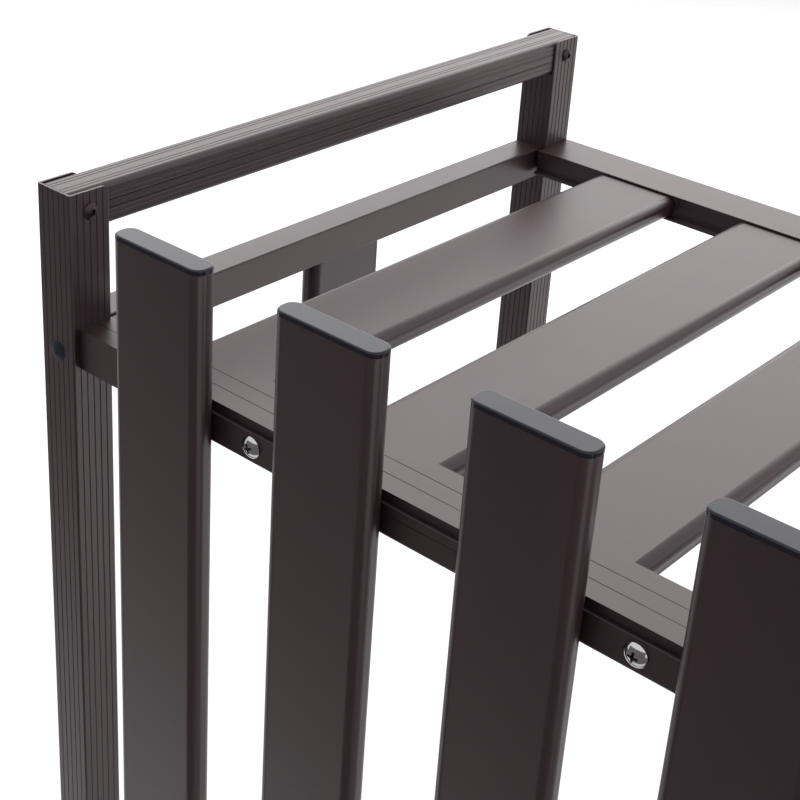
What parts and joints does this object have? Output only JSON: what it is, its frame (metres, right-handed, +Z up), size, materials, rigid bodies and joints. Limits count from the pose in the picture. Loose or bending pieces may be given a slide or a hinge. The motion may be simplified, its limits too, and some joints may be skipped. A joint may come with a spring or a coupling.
{
  "type": "slatted luggage rack",
  "caption": "Rigid slatted aluminium rack with an open slat shelf, raised side handles, a vertical slat front and levelling feet.",
  "frame": {"origin": "centre of the bounding box on the floor, under the middle of the rack", "axes": "+X to the right along the front, +Y from the slatted front to the back, +Z up"},
  "size_m": [0.8454, 0.3982, 0.8],
  "materials": {
    "bronze_aluminium": "dark bronze anodised, satin",
    "black_plastic": "moulded, slightly glossy black",
    "black_steel": "black coated steel",
    "chrome_steel": "bright plated steel",
    "zinc_steel": "bright zinc-plated steel"
  },
  "bodies": {
    "rack": {"back_left_post": "bronze_aluminium", "back_right_post": "bronze_aluminium", "foot_inserts": "black_plastic", "front_left_post": "bronze_aluminium", "front_right_post": "bronze_aluminium", "front_slat_1": "bronze_aluminium", "front_slat_2": "bronze_aluminium", "front_slat_3": "bronze_aluminium", "front_slat_4": "bronze_aluminium", "front_slat_5": "bronze_aluminium", "front_slat_6": "bronze_aluminium", "front_slat_7": "bronze_aluminium", "front_slat_8": "bronze_aluminium", "front_slat_bottom_caps": "black_plastic", "front_slat_top_caps": "black_plastic", "lattice_bar_lower": "bronze_aluminium", "lattice_bar_upper": "bronze_aluminium", "lattice_screws_lower": "chrome_steel", "lattice_screws_upper": "chrome_steel", "lower_access_plugs": "black_plastic", "lower_back_rail": "bronze_aluminium", "lower_cross_rail_screws": "black_steel", "lower_front_rail": "bronze_aluminium", "lower_side_rail_left": "bronze_aluminium", "lower_side_rail_right": "bronze_aluminium", "lower_side_rail_screws": "black_steel", "shelf_access_plugs": "black_plastic", "shelf_back_rail": "bronze_aluminium", "shelf_cross_rail_screws": "black_steel", "shelf_front_rail": "bronze_aluminium", "shelf_side_rail_left": "bronze_aluminium", "shelf_side_rail_right": "bronze_aluminium", "shelf_side_rail_screws": "black_steel", "shelf_slat_1": "bronze_aluminium", "shelf_slat_2": "bronze_aluminium", "shelf_slat_3": "bronze_aluminium", "shelf_slat_4": "bronze_aluminium", "shelf_slat_5": "bronze_aluminium", "shelf_slat_6": "bronze_aluminium", "shelf_slat_7": "bronze_aluminium", "shelf_slat_8": "bronze_aluminium", "shelf_slat_inserts_back": "black_plastic", "shelf_slat_inserts_front": "black_plastic", "side_board_inserts": "black_plastic", "side_board_left": "bronze_aluminium", "side_board_right": "bronze_aluminium", "slat_screws_lower": "black_steel", "slat_screws_upper": "black_steel", "top_rail_screws": "black_steel", "top_side_rail_left": "bronze_aluminium", "top_side_rail_right": "bronze_aluminium"},
    "front_left_pad": {"foot_pad_front_left": "black_plastic"},
    "front_left_stud": {"foot_stud_front_left": "zinc_steel"},
    "front_right_pad": {"foot_pad_front_right": "black_plastic"},
    "front_right_stud": {"foot_stud_front_right": "zinc_steel"},
    "back_left_pad": {"foot_pad_back_left": "black_plastic"},
    "back_left_stud": {"foot_stud_back_left": "zinc_steel"},
    "back_right_pad": {"foot_pad_back_right": "black_plastic"},
    "back_right_stud": {"foot_stud_back_right": "zinc_steel"}
  },
  "joints": [
    {"name": "front_left_foot_lift", "type": "slide", "parent": "rack", "child": "front_left_pad", "axis": [0, 0, 1], "range_m": [0, 0.008]},
    {"name": "front_left_foot_turn", "type": "hinge", "parent": "front_left_pad", "child": "front_left_stud", "pos_m": [-0.40875, -0.1769, 0.0138], "axis": [0, 0, 1], "range_deg": [0, 2304]},
    {"name": "front_right_foot_lift", "type": "slide", "parent": "rack", "child": "front_right_pad", "axis": [0, 0, 1], "range_m": [0, 0.008]},
    {"name": "front_right_foot_turn", "type": "hinge", "parent": "front_right_pad", "child": "front_right_stud", "pos_m": [0.40875, -0.1769, 0.0138], "axis": [0, 0, 1], "range_deg": [0, 2304]},
    {"name": "back_left_foot_lift", "type": "slide", "parent": "rack", "child": "back_left_pad", "axis": [0, 0, 1], "range_m": [0, 0.008]},
    {"name": "back_left_foot_turn", "type": "hinge", "parent": "back_left_pad", "child": "back_left_stud", "pos_m": [-0.40875, 0.1856, 0.0138], "axis": [0, 0, 1], "range_deg": [0, 2304]},
    {"name": "back_right_foot_lift", "type": "slide", "parent": "rack", "child": "back_right_pad", "axis": [0, 0, 1], "range_m": [0, 0.008]},
    {"name": "back_right_foot_turn", "type": "hinge", "parent": "back_right_pad", "child": "back_right_stud", "pos_m": [0.40875, 0.1856, 0.0138], "axis": [0, 0, 1], "range_deg": [0, 2304]}
  ],
  "couplings": [
    {"joint": "front_left_foot_turn", "follows": "front_left_foot_lift", "rad_per_m": 5026.5},
    {"joint": "front_right_foot_turn", "follows": "front_right_foot_lift", "rad_per_m": 5026.5},
    {"joint": "back_left_foot_turn", "follows": "back_left_foot_lift", "rad_per_m": 5026.5},
    {"joint": "back_right_foot_turn", "follows": "back_right_foot_lift", "rad_per_m": 5026.5}
  ]
}
